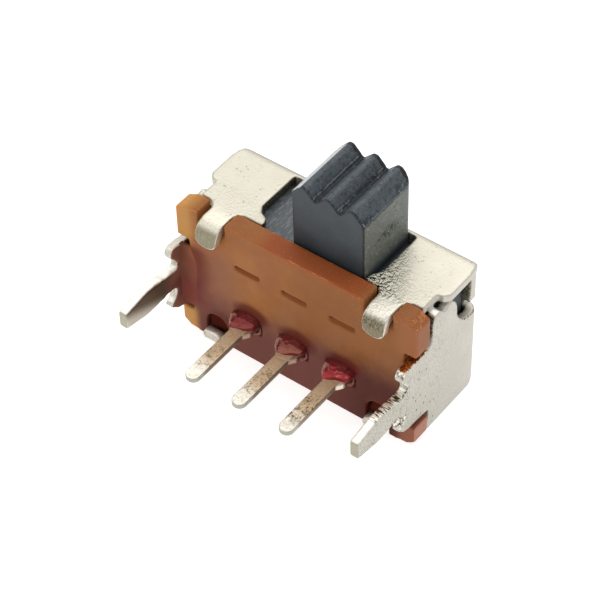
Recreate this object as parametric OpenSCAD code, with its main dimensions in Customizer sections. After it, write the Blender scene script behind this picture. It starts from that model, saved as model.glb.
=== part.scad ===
// Right-angle slide switch: one pole, two positions.
// X runs along the slide, -Y is the way the terminals point and +Z is the way the knob stands.
// The origin is the centre of the base: x = 0 at the centre terminal, y = 0 at half the body's
// depth, z = 0 on the base plate's underside.

/* [Frame] */
// Width of the folded frame over its end walls
frame_w = 12.3; // [11.8:0.1:14]
// Depth of the body, from the board's outer face to the frame's back
body_d = 4.9; // [4.6:0.1:6]
// Height of the frame, from its base to the top of its flaps
frame_h = 7.3; // [7:0.1:8.5]
// Thickness of the frame's sheet
sheet_t = 0.45; // [0.35:0.05:0.5]
// Outside radius of the frame's folds
fold_r = 0.55; // [0.52:0.01:0.7]
// Width of the opening between the two top flaps
slot_w = 6.36; // [6.2:0.02:6.8]
// How far the top flaps reach out past the end walls
flap_overhang = 0.12; // [0:0.02:0.3]

/* [Tabs] */
// Distance between the middles of the two top tabs
tab_spacing = 8.76; // [8.4:0.02:9.2]
// Width of each top tab
tab_w = 1.15; // [1:0.05:1.5]
// How far each top tab hangs down the board, from the top of the flaps
tab_drop = 1.18; // [1.1:0.02:2.4]
// Outside radius of the bend where a tab turns down over the board
tab_bend_r = 0.78; // [0.55:0.01:0.85]
// Radius of the corners where a tab leaves its flap
tab_fillet = 0.45; // [0.1:0.05:0.5]
// Distance between the middles of the two base tabs
base_tab_spacing = 8.7; // [8:0.1:9.2]
// Width of each base tab
base_tab_w = 1; // [0.7:0.05:1.2]
// How far each base tab stands up the board, from the base
base_tab_rise = 0.85; // [0.6:0.05:1.1]

/* [Legs] */
// Height of the middle of each mounting leg above the base
leg_z = 3.3; // [3:0.1:3.8]
// Width of each leg at its widest, halfway along it
leg_w = 1.42; // [1.2:0.02:1.8]
// Width of each leg at its tip
leg_tip_w = 0.92; // [0.5:0.02:1.1]
// Length of the legs in front of the board
leg_len = 3.85; // [2.5:0.05:5]
// How far the left end wall is sprung outwards from its fold, in degrees
left_wall_lean = 4.4; // [0:0.2:6]
// How far the right end wall is sprung outwards from its fold, in degrees
right_wall_lean = 0; // [0:0.2:6]
// Outward lean of the left leg, in degrees
left_leg_lean = 0.6; // [0:0.2:10]
// Outward lean of the right leg, in degrees
right_leg_lean = 0; // [0:0.2:10]
// How far the standoff ears reach in front of the board
ear_len = 0.88; // [0.7:0.02:1]

/* [Board] */
// Width of the terminal board
board_w = 12.6; // [12:0.1:14]
// How far the terminal board stands above the top of the frame's flaps
board_rise = 0.2; // [0:0.05:0.5]
// Thickness of the terminal board
board_t = 1; // [0.8:0.05:1.2]
// Size of the cut at the board's upper corners
board_corner = 0.3; // [0.1:0.05:0.5]
// Width of each pressed mark
mark_w = 1.36; // [1:0.02:1.8]
// Height of each pressed mark
mark_h = 0.31; // [0.15:0.01:0.4]
// Depth of each pressed mark
mark_depth = 0.2; // [0.1:0.05:0.5]
// Height of the marks above the base
mark_z = 5.3; // [5:0.05:5.8]

/* [Terminals] */
// Distance between neighbouring terminals
pitch = 2.5; // [2.4:0.02:2.8]
// Width of each terminal pin
pin_w = 0.69; // [0.5:0.01:1]
// Thickness of the terminal strip
pin_t = 0.28; // [0.2:0.01:0.4]
// Length of each pin in front of the board
pin_len = 4.2; // [3:0.05:6]
// Height of the pins' middle above the base
pin_z = 2.37; // [2.2:0.01:2.8]
// Width of the shoulder at each pin's root
shoulder_w = 1.12; // [0.9:0.05:1.7]
// Height of the contact pad on the board's inner face
pad_h = 1.7; // [1.4:0.05:2]
// Rounding of the sealing resin, and its thickness at its toe
resin_t = 0.2; // [0.1:0.02:0.3]
// Width of the sealing resin
resin_w = 1.5; // [1:0.05:1.7]
// Height of the sealing resin
resin_h = 0.65; // [0.4:0.05:0.9]

/* [Slider] */
// Width of the knob, along the slide
knob_w = 3.66; // [3.2:0.02:3.8]
// Height of the knob's ridges above the base
knob_top = 10.74; // [9.4:0.02:12]
// Height of each ridge on the knob
ridge_h = 0.5; // [0.2:0.05:0.7]
// Number of ridges on the knob
ridges = 3; // [2:1:4]
// How far the knob overhangs the frame's back wall, above the flaps
knob_overhang = 0.12; // [0:0.02:0.4]
// Radius of the knob's two upright corners at the back
knob_corner = 0.38; // [0.1:0.02:0.6]
// Travel of the slider from one position to the other
travel = 1.6; // [1.2:0.05:1.65]
// Middle of the slider's travel, measured from the centre terminal
travel_mid = 0.19; // [0:0.01:0.2]

/* [Contact and detent] */
// Length of the moving contact, along the slide
contact_w = 3.7; // [3.3:0.1:4.2]
// Height of the moving contact
contact_h = 1.5; // [1:0.1:2]
// Thickness of the moving contact's strip
contact_t = 0.2; // [0.1:0.05:0.25]
// Diameter of the detent ball
ball_d = 1.2; // [0.9:0.05:1.3]
// Diameter of the detent spring's wire
wire_d = 0.18; // [0.12:0.01:0.2]
// Number of turns of the detent spring
spring_turns = 5; // [3:1:6]
// Depth of the two detent dimples in the frame's back wall
dimple_depth = 0.12; // [0.05:0.01:0.16]

/* [Fits] */
// Gap between the slider and the board, the frame or the flaps
slide_gap = 0.08; // [0.04:0.01:0.12]
// Gap between the knob and the stop at each end of its travel
stop_gap = 0.04; // [0.02:0.01:0.08]
// Gap between the carriage and the nearer end wall at the end of its travel
carriage_gap = 0.11; // [0.05:0.01:0.3]
// Gap between the terminals and the moving contact
contact_gap = 0.03; // [0.02:0.01:0.06]
// Gap around the sheet where it passes through the board
board_gap = 0.03; // [0.01:0.01:0.06]
// Gap around the detent ball in its bore
bore_gap = 0.05; // [0.03:0.01:0.1]

/* [Hidden] */
$fn = 64;
eps = 0.01;                                   // overshoot of the cutting shapes

// Planes of the body, front to back
front_y = -body_d / 2;                        // the board's outer face
inner_y = front_y + board_t;                  // the board's inner face
back_y = body_d / 2;                          // the frame's back
wall_y = back_y - sheet_t;                    // inner face of the back wall
end_x = frame_w / 2;                          // outer face of the end walls
end_in_x = end_x - sheet_t;                   // inner face of the end walls
flap_under = frame_h - sheet_t;               // underside of the top flaps
tab_front = front_y - sheet_t;                // outer face of the tabs
board_h = frame_h + board_rise;               // top of the terminal board
flap_front = inner_y + 0.17;                  // front edge of the flaps, between the tabs

// The slider at rest, at the right-hand end of its travel
rest_x = travel_mid + travel / 2;
knob_front = inner_y + slide_gap + 0.05;
neck_back = wall_y - slide_gap;
knob_back = wall_y + knob_overhang;
carriage_w = 2 * (end_in_x - travel_mid - travel / 2 - carriage_gap);
carriage_top = flap_under - slide_gap;
carriage_base = sheet_t + slide_gap;
knob_step_z = frame_h + slide_gap;
ridge_r = 0.22;                               // rounding of the ridges
ridge_peak = ridge_h * 1.22;                  // a ridge's height before it is rounded
stop_x = knob_w / 2 + travel / 2 + stop_gap;  // each stop's distance from travel_mid

// Tabs and legs
tab_corner = tab_w * 0.42;                    // rounded corners at a tab's end
base_tab_corner = base_tab_w * 0.3;
tab_in_r = tab_bend_r - sheet_t;              // inside radius of a tab's bend
leg_root = 1.06;                              // where a leg starts, in front of the board
leg_neck = leg_w * 0.75;                      // width of a leg's neck at its root
leg_overlap = 0.3;                            // how far a leg runs back into its end wall
leg_neck_len = 0.14;                          // straight length of the neck
leg_swell = 0.45;                             // where the neck has widened
leg_swell_share = 0.88;                       // share of the leg's width that it has there
leg_middle = 0.49;                            // share of the blade's length where it is widest
leg_chamfer = 0.06;                           // cut corners at a leg's tip
ear_base = 1.34;                              // underside of the lower ears
ear_rise = 1.82;                              // top of the upper ears, above the legs' middle
ear_top = leg_z + ear_rise;

// Openings in the board, and its worn corners
board_corner_w = 0.55;                        // width of the cuts at the top corners
board_foot = [[-0.85, 0], [-0.38, 0.05], [0, 0.33]];  // rounded lower corner, from the board's side
leg_slot_base = 1.2;
leg_slot_top = ear_top + 0.43;
tab_notch_w = tab_w + 0.3;
base_notch_w = base_tab_w + 0.15;
base_notch_rise = 0.72;                       // how far each notch reaches above its tab
base_notch_top = base_tab_rise + base_notch_rise;
base_notch_depth = 0.75;                      // how far each notch is sunk above its tab

// Terminals
shoulder_proud = 0.95;                        // how far a shoulder stands in front of the board
shoulder_cut = 0.3;                           // cut corners at a shoulder's front
mouth_rim = 0.12;                             // how far a terminal's mouth passes its shoulder
mouth_base = 1.81;                            // bottoms of the mouths that the terminals leave by
mouth_h = 0.7;                                // height of those mouths
mouth_depth = 0.4;                            // depth of those mouths
pad_w = shoulder_w + 0.4;                     // width of a contact pad
pad_depth = 0.2;                              // thickness of a contact pad, sunk in the board

// Back wall: narrower at the top, where it leaves the end walls
back_top_w = 2 * (end_x - 0.2);
relief_z = 4.55;                              // foot of the slits beside the back wall

// Detent
spring_d = ball_d - 0.15;
ball_y = wall_y - 0.02 - ball_d / 2;
contact_y = inner_y + contact_gap;            // where the moving contact meets the pads
contact_bow = 0.4;                            // how far the contact bows away from the board
contact_toe = 0.35;                           // from each end of the contact to where it rests
contact_flat = 0.4;                           // share of the contact's width that is flat
spring_front = contact_y + contact_bow + contact_t + 0.02;
spring_back = ball_y - ball_d / 2 * 0.55;

// ---------- Frame ----------

// What is left between a corner and the arc of radius r that rounds it.
module corner_rest(r) {
    difference() {
        square([r, r]);
        translate([r, r]) circle(r);
    }
}

// Section of the sheet that makes the base plate, the back wall and the top flaps, with the
// tabs' bends at its front ends. 2D x is the model's Y and 2D y is its Z.
module wrap_section() {
    difference() {
        translate([tab_front, 0]) square([back_y - tab_front, frame_h]);
        translate([tab_front, 0]) corner_rest(fold_r);
        translate([tab_front, frame_h]) mirror([0, 1]) corner_rest(tab_bend_r);
        translate([back_y, 0]) mirror([1, 0]) corner_rest(fold_r);
        translate([back_y, frame_h]) mirror([1, 0]) mirror([0, 1]) corner_rest(fold_r);
        difference() {
            translate([front_y, sheet_t]) square([wall_y - front_y, frame_h - 2 * sheet_t]);
            translate([front_y, flap_under]) mirror([0, 1]) corner_rest(tab_in_r);
        }
    }
}

module wrap_sheet(width) {
    rotate([90, 0, 90]) linear_extrude(width, center = true) wrap_section();
}

// A bar with a round end, standing on y = 0 and reaching up to y = len.
module round_bar(width, len, r) {
    translate([-width / 2, 0]) square([width, len - r]);
    translate([-width / 2 + r, 0]) square([width - 2 * r, len]);
    for (s = [-1, 1]) translate([s * (width / 2 - r), len - r]) circle(r);
}

function moved(points, a, b) = [for (p = points) [p[0] + a, p[1] + b]];

// Cut edges of a top flap, each a run of points measured from a corner of the flap.
// Nub, in shares of its reach past the slot's side and from the flap's front edge
nub_edge = [[0, 0.93], [0.27, 0.62], [0.81, 0.46], [1, 0.15], [0.93, 0]];
// Step beside the end wall, from the flap's outer side and its front edge
flap_step = [[-0.48, 0], [-0.48, 1.04], [-0.19, 1.07], [0, 1.34]];
// Back corner, from the flap's outer side and the back face
flap_corner = [[0, -0.9], [-0.12, -0.3], [-0.42, 0]];

// One top flap in plan, for the side where s = 1; nub is how far its stop reaches past the slot.
module flap_plan(nub) {
    inner = slot_w / 2;
    outer = end_x + flap_overhang;
    tab_x = tab_spacing / 2;
    polygon(concat(
        [[inner, back_y]],
        [for (p = nub_edge) [inner - nub * p[0], flap_front + p[1]]],
        moved(flap_step, outer, flap_front),
        moved(flap_corner, outer, back_y)));
    translate([tab_x - tab_w / 2, tab_front]) square([tab_w, flap_front - tab_front + eps]);
    for (s = [-1, 1])
        translate([tab_x + s * tab_w / 2, flap_front]) mirror([s < 0 ? 1 : 0, 0])
            mirror([0, 1]) corner_rest(tab_fillet);
}

module top_plan() {
    flap_plan(slot_w / 2 - travel_mid - stop_x);
    mirror([1, 0]) flap_plan(slot_w / 2 + travel_mid - stop_x);
}

module base_plan() {
    plate = end_in_x - board_gap;
    translate([-plate, flap_front]) square([2 * plate, back_y - flap_front]);
    for (s = [-1, 1]) translate([s * base_tab_spacing / 2 - base_tab_w / 2, tab_front])
        square([base_tab_w, flap_front - tab_front + eps]);
}

// What is kept of the wrapped sheet, seen from the front: the tabs' hanging ends, the back wall
// with its cut corners, and everything at the level of the flaps and of the base plate.
module top_part() {
    intersection() {
        wrap_sheet(frame_w + 2 * flap_overhang);
        translate([0, 0, frame_h / 2]) linear_extrude(frame_h) top_plan();
        rotate([90, 0, 0]) linear_extrude(2 * body_d, center = true) {
            translate([-frame_w, flap_under - eps]) square([2 * frame_w, frame_h]);
            for (s = [-1, 1]) translate([s * tab_spacing / 2, frame_h])
                mirror([0, 1]) round_bar(tab_w, tab_drop, tab_corner);
        }
    }
}

module base_part() {
    intersection() {
        wrap_sheet(frame_w);
        linear_extrude(frame_h / 2) base_plan();
        rotate([90, 0, 0]) linear_extrude(2 * body_d, center = true) {
            translate([-frame_w, -eps]) square([2 * frame_w, sheet_t + 2 * eps]);
            for (s = [-1, 1]) translate([s * base_tab_spacing / 2, 0])
                round_bar(base_tab_w, base_tab_rise, base_tab_corner);
        }
    }
}

module back_wall() {
    lower_w = 2 * (end_x - fold_r);
    translate([0, wall_y, 0]) {
        translate([-lower_w / 2, 0, fold_r]) cube([lower_w, sheet_t, frame_h - 2 * fold_r]);
        translate([-back_top_w / 2, 0, relief_z + 0.4])
            cube([back_top_w, sheet_t, frame_h - fold_r - relief_z - 0.4]);
    }
}

// The wrapped sheet's two folds along the back, over the width that the back wall has there.
module back_folds() {
    for (w = [[back_top_w, frame_h - fold_r], [2 * (end_in_x - board_gap), 0]])
        intersection() {
            wrap_sheet(w[0]);
            translate([-frame_w, back_y - fold_r, w[1]]) cube([2 * frame_w, body_d, fold_r]);
        }
}

// Cut edges of the end walls, each a run of points measured from a corner of the body that
// moves with the sizes. In each pair the first number is along Y and the second along Z.
// Slit beside the back wall, from the back face and the slit's foot
relief_cut = [[0, 0], [-0.7, 0], [-1.11, 0.1], [-1.5, 0.47], [-1.67, 0.87], [-1.69, 1.28]];
// Hump and finger under the flap, from the back face and the frame's top
finger_cut = [[-1.75, -1.12], [-1.94, -0.87], [-2.14, -0.64], [-2.31, -0.73], [-2.53, -0.76],
              [-2.59, -0.94], [-2.82, -0.69], [-3.04, -0.52], [-3.35, -0.58]];
// Step from the finger down to the upper ear, from the board's inner face and the ear's top
step_cut = [[0.42, 1.28], [0.4, 0.33], [0.27, 0.09], [0.06, 0]];
// Front of the upper ear, from the ear's tip and its top
upper_ear_cut = [[0.16, 0], [0.1, -0.09], [0.03, -0.21], [0, -0.43], [0.25, -0.75]];
// Neck between the upper ear and the leg, from the board's outer face and the leg's middle
upper_neck_cut = [[-0.35, 0.78], [-0.38, 0.62], [-0.49, 0.53], [-0.7, 0.51]];
lower_neck_cut = [[-0.89, -0.54], [-0.68, -0.52], [-0.55, -0.58], [-0.49, -0.72], [-0.53, -0.95]];
// Front of the lower ear, from the ear's tip and its underside
lower_ear_cut = [[0.22, 0.76], [0.07, 0.63], [0, 0.48], [0.01, 0.38], [0.38, 0.09], [0.74, 0]];

// End wall in elevation, seen from its side. 2D x is the model's Y and 2D y is its Z.
module end_outline() {
    f = front_y;
    b = back_y;
    polygon(concat(
        [[b - fold_r, 0], [b, fold_r]],
        moved(relief_cut, b, relief_z),
        moved(finger_cut, b, frame_h),
        moved(step_cut, inner_y, ear_top),
        moved(upper_ear_cut, f - ear_len + 0.13, ear_top),
        moved(upper_neck_cut, f, leg_z),
        [[f - leg_root, leg_z + leg_neck / 2], [f - leg_root, leg_z - leg_neck / 2]],
        moved(lower_neck_cut, f, leg_z),
        moved(lower_ear_cut, f - ear_len, ear_base),
        [[inner_y + 0.23, leg_slot_base + board_gap], [inner_y + 0.26, 1.05],
         [inner_y + 0.17, 0]]));
}

// Blade of a mounting leg, from its root to its tapered tip, in the same view.
module leg_outline() {
    taper = leg_len - leg_root;
    belly = leg_w / 2;
    side = [[leg_overlap, leg_neck / 2], [-leg_neck_len, leg_neck / 2],
            [-leg_swell, belly * leg_swell_share], [-taper * leg_middle, belly],
            [-taper + leg_chamfer, leg_tip_w / 2], [-taper, leg_tip_w / 2 - leg_chamfer]];
    polygon(concat(side, [for (i = [len(side) - 1:-1:0]) [side[i][0], -side[i][1]]]));
}

// Plan of the fold between the back wall and an end wall.
module fold_plan() {
    difference() {
        union() {
            translate([end_x - fold_r, back_y - fold_r]) circle(fold_r);
            translate([end_x - 2 * fold_r, wall_y]) square([fold_r, sheet_t]);
        }
        translate([0, -body_d]) square([end_in_x, body_d + wall_y]);
    }
}

// Turns what is on an end wall about the middle of its fold.
module sprung(angle) {
    fold_middle = [end_x - fold_r, back_y - fold_r, 0];
    translate(fold_middle) rotate(angle) translate(-fold_middle) children();
}

module end_wall(wall_lean, leg_lean) {
    intersection() {
        linear_extrude(2 * frame_h) {
            fold_plan();
            sprung(wall_lean) translate([end_in_x, -body_d])
                square([sheet_t, 1.5 * body_d - fold_r]);
        }
        rotate([90, 0, 90]) linear_extrude(frame_w) end_outline();
    }
    sprung(wall_lean) translate([end_in_x, front_y - leg_root, leg_z])
        rotate(leg_lean - wall_lean) rotate([90, 0, 90]) linear_extrude(sheet_t) leg_outline();
}

module dimples() {
    ball_r = ball_d / 2;
    for (x = [rest_x, rest_x - travel])
        translate([x, wall_y - ball_r + dimple_depth, pin_z]) sphere(ball_r);
}

module frame() {
    color([0.86, 0.84, 0.79]) difference() {
        union() {
            top_part();
            base_part();
            back_wall();
            back_folds();
            end_wall(right_wall_lean, right_leg_lean);
            mirror([1, 0, 0]) end_wall(left_wall_lean, left_leg_lean);
        }
        dimples();
        // The opening that the knob slides in runs back to the wall
        translate([-slot_w / 2, back_y - fold_r - eps, flap_under - eps])
            cube([slot_w, fold_r - sheet_t + eps, 2 * sheet_t]);
    }
}

// ---------- Terminal board ----------

module board_outline() {
    half = concat(moved(board_foot, board_w / 2, 0), [
        [board_w / 2, board_h - board_corner], [board_w / 2 - board_corner_w, board_h]]);
    polygon(concat(half, [for (i = [len(half) - 1:-1:0]) [-half[i][0], half[i][1]]]));
}

module board_cuts() {
    for (s = [-1, 1]) {
        // The end wall passes here on its way to the leg
        translate([s > 0 ? end_in_x - board_gap : -board_w, leg_slot_base])
            square([board_w - end_in_x + board_gap, leg_slot_top - leg_slot_base]);
        translate([s * tab_spacing / 2 - tab_notch_w / 2, flap_under - board_gap])
            square([tab_notch_w, board_h]);
        // Each base tab passes under the board's edge here
        translate([s * base_tab_spacing / 2 - base_notch_w / 2, -eps])
            square([base_notch_w, sheet_t + board_gap + eps]);
    }
    for (i = [-1:1]) translate([i * pitch, pin_z])
        square([shoulder_w + 2 * board_gap, pin_t + 2 * board_gap], center = true);
}

module terminal_board() {
    color([0.66, 0.4, 0.2]) difference() {
        translate([0, inner_y, 0]) rotate([90, 0, 0]) linear_extrude(board_t)
            difference() {
                board_outline();
                board_cuts();
            }
        for (i = [-1:1]) {
            translate([i * pitch - mark_w / 2, front_y - eps, mark_z - mark_h / 2])
                cube([mark_w, mark_depth + eps, mark_h]);
            translate([i * pitch, front_y + mouth_depth, mouth_base])
                rotate([90, 0, 0]) linear_extrude(mouth_depth + eps)
                    round_bar(shoulder_w + 2 * mouth_rim, mouth_h, mouth_rim * 2);
            translate([i * pitch - pad_w / 2 - board_gap, inner_y - pad_depth,
                       pin_z - pad_h / 2 - board_gap])
                cube([pad_w + 2 * board_gap, pad_depth + eps, pad_h + 2 * board_gap]);
        }
        // Round-topped recess behind each base tab's upturned end
        for (s = [-1, 1])
            translate([s * base_tab_spacing / 2, front_y + base_notch_depth, -eps])
                rotate([90, 0, 0]) linear_extrude(base_notch_depth + eps)
                    round_bar(base_notch_w, base_notch_top, base_notch_w / 2 - eps);
        // The notches' front edges are rounded to follow the tabs' bends
        for (s = [-1, 1])
            translate([s * tab_spacing / 2, front_y, flap_under - board_gap])
                rotate([90, 0, 90]) linear_extrude(tab_notch_w, center = true)
                    mirror([0, 1]) translate([-eps, -eps]) corner_rest(tab_in_r + eps);
    }
}

// ---------- Terminals ----------

module shoulder_plan() {
    front = front_y - shoulder_proud;
    side = shoulder_w / 2;
    polygon([[-pin_w / 2, front], [pin_w / 2, front], [side, front + shoulder_cut],
             [side, inner_y - pad_depth / 2], [-side, inner_y - pad_depth / 2],
             [-side, front + shoulder_cut]]);
}

module terminal() {
    tip_y = front_y - pin_len;
    color([0.78, 0.7, 0.58]) {
        translate([0, 0, pin_z - pin_t / 2]) linear_extrude(pin_t) {
            translate([-pin_w / 2, tip_y + pin_w / 2])
                square([pin_w, front_y - tip_y - pin_w / 2]);
            translate([0, tip_y + pin_w / 2]) circle(pin_w / 2);
            shoulder_plan();
        }
        translate([-pad_w / 2, inner_y - pad_depth, pin_z - pad_h / 2])
            cube([pad_w, pad_depth, pad_h]);
    }
}

module terminal_left() translate([-pitch, 0, 0]) terminal();
module terminal_centre() terminal();
module terminal_right() translate([pitch, 0, 0]) terminal();

// Wedge of resin that runs from the board down over a shoulder's top.
module resin_seal() {
    r = resin_t;
    foot = pin_z + pin_t / 2;
    toe = front_y - shoulder_proud + r;
    color([0.6, 0.2, 0.22]) difference() {
        hull() {
            for (x = [-1, 1], z = [0, resin_h - r])
                translate([x * (resin_w / 2 - r), front_y, foot + z]) sphere(r, $fn = 32);
            for (x = [-1, 1])
                translate([x * (shoulder_w / 2 - r), toe, foot]) sphere(r, $fn = 32);
        }
        translate([-resin_w, front_y, 0]) cube([2 * resin_w, board_t, frame_h]);
        translate([-resin_w, front_y - 2 * shoulder_proud, 0])
            cube([2 * resin_w, 2 * shoulder_proud + eps, foot]);
    }
}

module resin_seal_left() translate([-pitch, 0, 0]) resin_seal();
module resin_seal_centre() resin_seal();
module resin_seal_right() translate([pitch, 0, 0]) resin_seal();

// ---------- Slider ----------

// Front view of the knob: straight sides and round-topped ridges along its crown.
module knob_outline() {
    step = knob_w / ridges;
    valley = knob_top - ridge_h;
    depth = ridge_h / 2;
    translate([-knob_w / 2, knob_step_z]) square([knob_w, valley - knob_step_z + eps]);
    for (i = [0:ridges - 1]) translate([(i - (ridges - 1) / 2) * step, valley])
        offset(ridge_r) offset(-ridge_r)
            polygon([[-step / 2, -depth], [-step / 2, 0], [0, ridge_peak], [step / 2, 0],
                     [step / 2, -depth]]);
}

module knob_plan() {
    difference() {
        translate([-knob_w / 2, knob_front]) square([knob_w, knob_back - knob_front]);
        translate([-knob_w / 2, knob_back]) mirror([0, 1]) corner_rest(knob_corner);
        translate([knob_w / 2, knob_back]) mirror([1, 0]) mirror([0, 1]) corner_rest(knob_corner);
    }
}

module slider() {
    bore_r = ball_d / 2 + bore_gap;
    pocket_w = contact_w + 0.2;
    pocket_h = contact_h + 0.2;
    pocket_back = spring_front - 0.02;
    color([0.2, 0.21, 0.23]) translate([rest_x, 0, 0]) difference() {
        union() {
            translate([-carriage_w / 2, knob_front, carriage_base])
                cube([carriage_w, wall_y - slide_gap - knob_front, carriage_top - carriage_base]);
            translate([-knob_w / 2, knob_front, carriage_top - eps])
                cube([knob_w, neck_back - knob_front, knob_step_z - carriage_top + 2 * eps]);
            intersection() {
                translate([0, knob_back, 0]) rotate([90, 0, 0])
                    linear_extrude(knob_back - knob_front) knob_outline();
                translate([0, 0, knob_step_z]) linear_extrude(knob_top) knob_plan();
            }
        }
        translate([-pocket_w / 2, knob_front - eps, pin_z - pocket_h / 2])
            cube([pocket_w, pocket_back - knob_front + eps, pocket_h]);
        translate([0, back_y, pin_z]) rotate([90, 0, 0])
            cylinder(h = back_y - knob_front, r = bore_r);
    }
}

// Bowed strip whose two ends rest on the contact pads.
module moving_contact() {
    half = contact_w / 2;
    lift = contact_bow / 2;
    flat = half * contact_flat;
    edge = [[-half, lift], [-half + contact_toe, 0], [-half + 2 * contact_toe, lift / 2],
            [-flat, contact_bow], [flat, contact_bow], [half - 2 * contact_toe, lift / 2],
            [half - contact_toe, 0], [half, lift]];
    color([0.8, 0.6, 0.35]) translate([rest_x, contact_y, pin_z - contact_h / 2])
        linear_extrude(contact_h)
            polygon(concat(edge, [for (i = [len(edge) - 1:-1:0]) edge[i] + [0, contact_t]]));
}

// Closed tube of round wire along a helix about the Y axis.
module detent_spring() {
    sides = 8;
    rings = spring_turns * 16;
    r = wire_d / 2;
    coil = spring_d / 2 - r;
    run = spring_back - spring_front - wire_d;
    points = [for (i = [0:rings], j = [0:sides - 1])
        let (a = 360 * i * spring_turns / rings, b = 360 * j / sides)
        [(coil + r * cos(b)) * cos(a), run * i / rings + r * sin(b), (coil + r * cos(b)) * sin(a)]];
    faces = concat(
        [[for (j = [0:sides - 1]) j]],
        [for (i = [0:rings - 1], j = [0:sides - 1])
            let (k = (j + 1) % sides)
            [i * sides + k, i * sides + j, (i + 1) * sides + j, (i + 1) * sides + k]],
        [[for (j = [sides - 1:-1:0]) rings * sides + j]]);
    color([0.7, 0.7, 0.72]) translate([rest_x, spring_front + r, pin_z])
        polyhedron(points, faces, convexity = 10);
}

module detent_ball() {
    color([0.75, 0.76, 0.78]) translate([rest_x, ball_y, pin_z]) sphere(ball_d / 2);
}

frame();
terminal_board();
terminal_left();
terminal_centre();
terminal_right();
resin_seal_left();
resin_seal_centre();
resin_seal_right();
slider();
moving_contact();
detent_spring();
detent_ball();
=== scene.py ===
# %% [markdown]
# # A slide switch, finished for looks
#
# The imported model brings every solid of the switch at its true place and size: a folded
# sheet-metal frame, a resin-paper board that carries three flat terminals, and a black slider
# with its little contact, spring and ball. Here each of them gets what the solids leave out: worn
# edges, pits, scratches, stains and the right shine.

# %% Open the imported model
import bmesh
import bpy
import numpy as np
from math import cos, radians, sin
from mathutils import Matrix, Vector


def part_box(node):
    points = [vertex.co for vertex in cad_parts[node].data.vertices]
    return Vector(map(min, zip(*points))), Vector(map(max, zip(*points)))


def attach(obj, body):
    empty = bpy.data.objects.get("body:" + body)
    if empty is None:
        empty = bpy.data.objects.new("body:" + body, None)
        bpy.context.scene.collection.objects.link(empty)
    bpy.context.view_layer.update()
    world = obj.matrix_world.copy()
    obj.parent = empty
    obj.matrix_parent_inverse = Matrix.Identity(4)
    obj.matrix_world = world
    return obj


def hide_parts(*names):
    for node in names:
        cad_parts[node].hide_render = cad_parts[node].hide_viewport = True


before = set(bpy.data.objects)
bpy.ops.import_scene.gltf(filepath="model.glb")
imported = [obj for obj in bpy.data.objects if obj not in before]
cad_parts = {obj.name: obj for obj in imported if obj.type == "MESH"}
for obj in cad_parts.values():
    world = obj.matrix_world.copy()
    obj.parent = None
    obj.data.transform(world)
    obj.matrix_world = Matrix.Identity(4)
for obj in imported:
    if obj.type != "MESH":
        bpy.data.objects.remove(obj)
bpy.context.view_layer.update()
MM = 0.001
print("nodes:", sorted(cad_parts))

# %% [markdown]
# ## Landmarks
#
# Stains and scratches keep to their places: over a tab, along a valley, round a terminal. Such a
# place could be typed into every mask, but the ones that several finishes share are easier to
# follow under a name. All are in millimetres from the middle of the switch's underside, with the
# knob where it rests.

# %% Name the places that finishes share
PITCH = 2.5              # from one terminal to the next
PIN_Z = 2.37             # middle of the terminals' thickness
TAB_X = 4.38             # middle of each tab that folds over the board
BASE_TAB_X = 4.35        # middle of each tab below, and of the notch over it
KNOB_X = 0.99            # middle of the knob
VALLEYS = (0.38, 1.60)   # bottoms of the two valleys between the ridges
print("terminals at x", [-PITCH, 0.0, PITCH], "tabs at", [-TAB_X, TAB_X], "knob at", KNOB_X)

# %% [markdown]
# ## The camera
#
# A part 13 mm long is looked at with a long lens from about ten centimetres, so its edges stay
# nearly parallel. The camera is turned by three angles: round the part, up from the table, and a
# small roll. It could be aimed with a constraint, but a matrix built from the three axes says
# exactly where it stands.

# %% Place the camera
AROUND, ABOVE, ROLL = radians(38.276), radians(46.259), radians(-1.701)
DISTANCE = 99.93 * MM
LENS, SENSOR = 137.1, 36
SIDEWAYS, UPWARDS = 0.163 * MM, 3.631 * MM

back = Vector((sin(AROUND) * cos(ABOVE), -cos(AROUND) * cos(ABOVE), sin(ABOVE)))
level_right = Vector((cos(AROUND), sin(AROUND), 0))
level_up = back.cross(level_right)
right = cos(ROLL) * level_right + sin(ROLL) * level_up
up = back.cross(right)
board_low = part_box("terminal_board")[0]
aim = Vector((0, board_low.y, 0)) + SIDEWAYS * right + UPWARDS * up

camera = bpy.data.objects.new("camera", bpy.data.cameras.new("camera"))
bpy.context.scene.collection.objects.link(camera)
camera.data.sensor_width, camera.data.lens = SENSOR, LENS
camera.data.clip_start, camera.data.clip_end = 5 * MM, 4
turned = Matrix((right, up, back)).transposed().to_4x4()
camera.matrix_world = Matrix.Translation(aim + DISTANCE * back) @ turned
bpy.context.scene.camera = camera
print("camera at mm", [round(v / MM, 1) for v in camera.matrix_world.translation])

# %% [markdown]
# ## Wires that can be added and multiplied
#
# A material is a small program drawn as nodes. Laying a hundred Math nodes by hand hides what
# they work out, so one class wraps an output socket and lets Python's own operators add the
# nodes: `1 - mask * 0.4` reads as it is meant.

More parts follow.
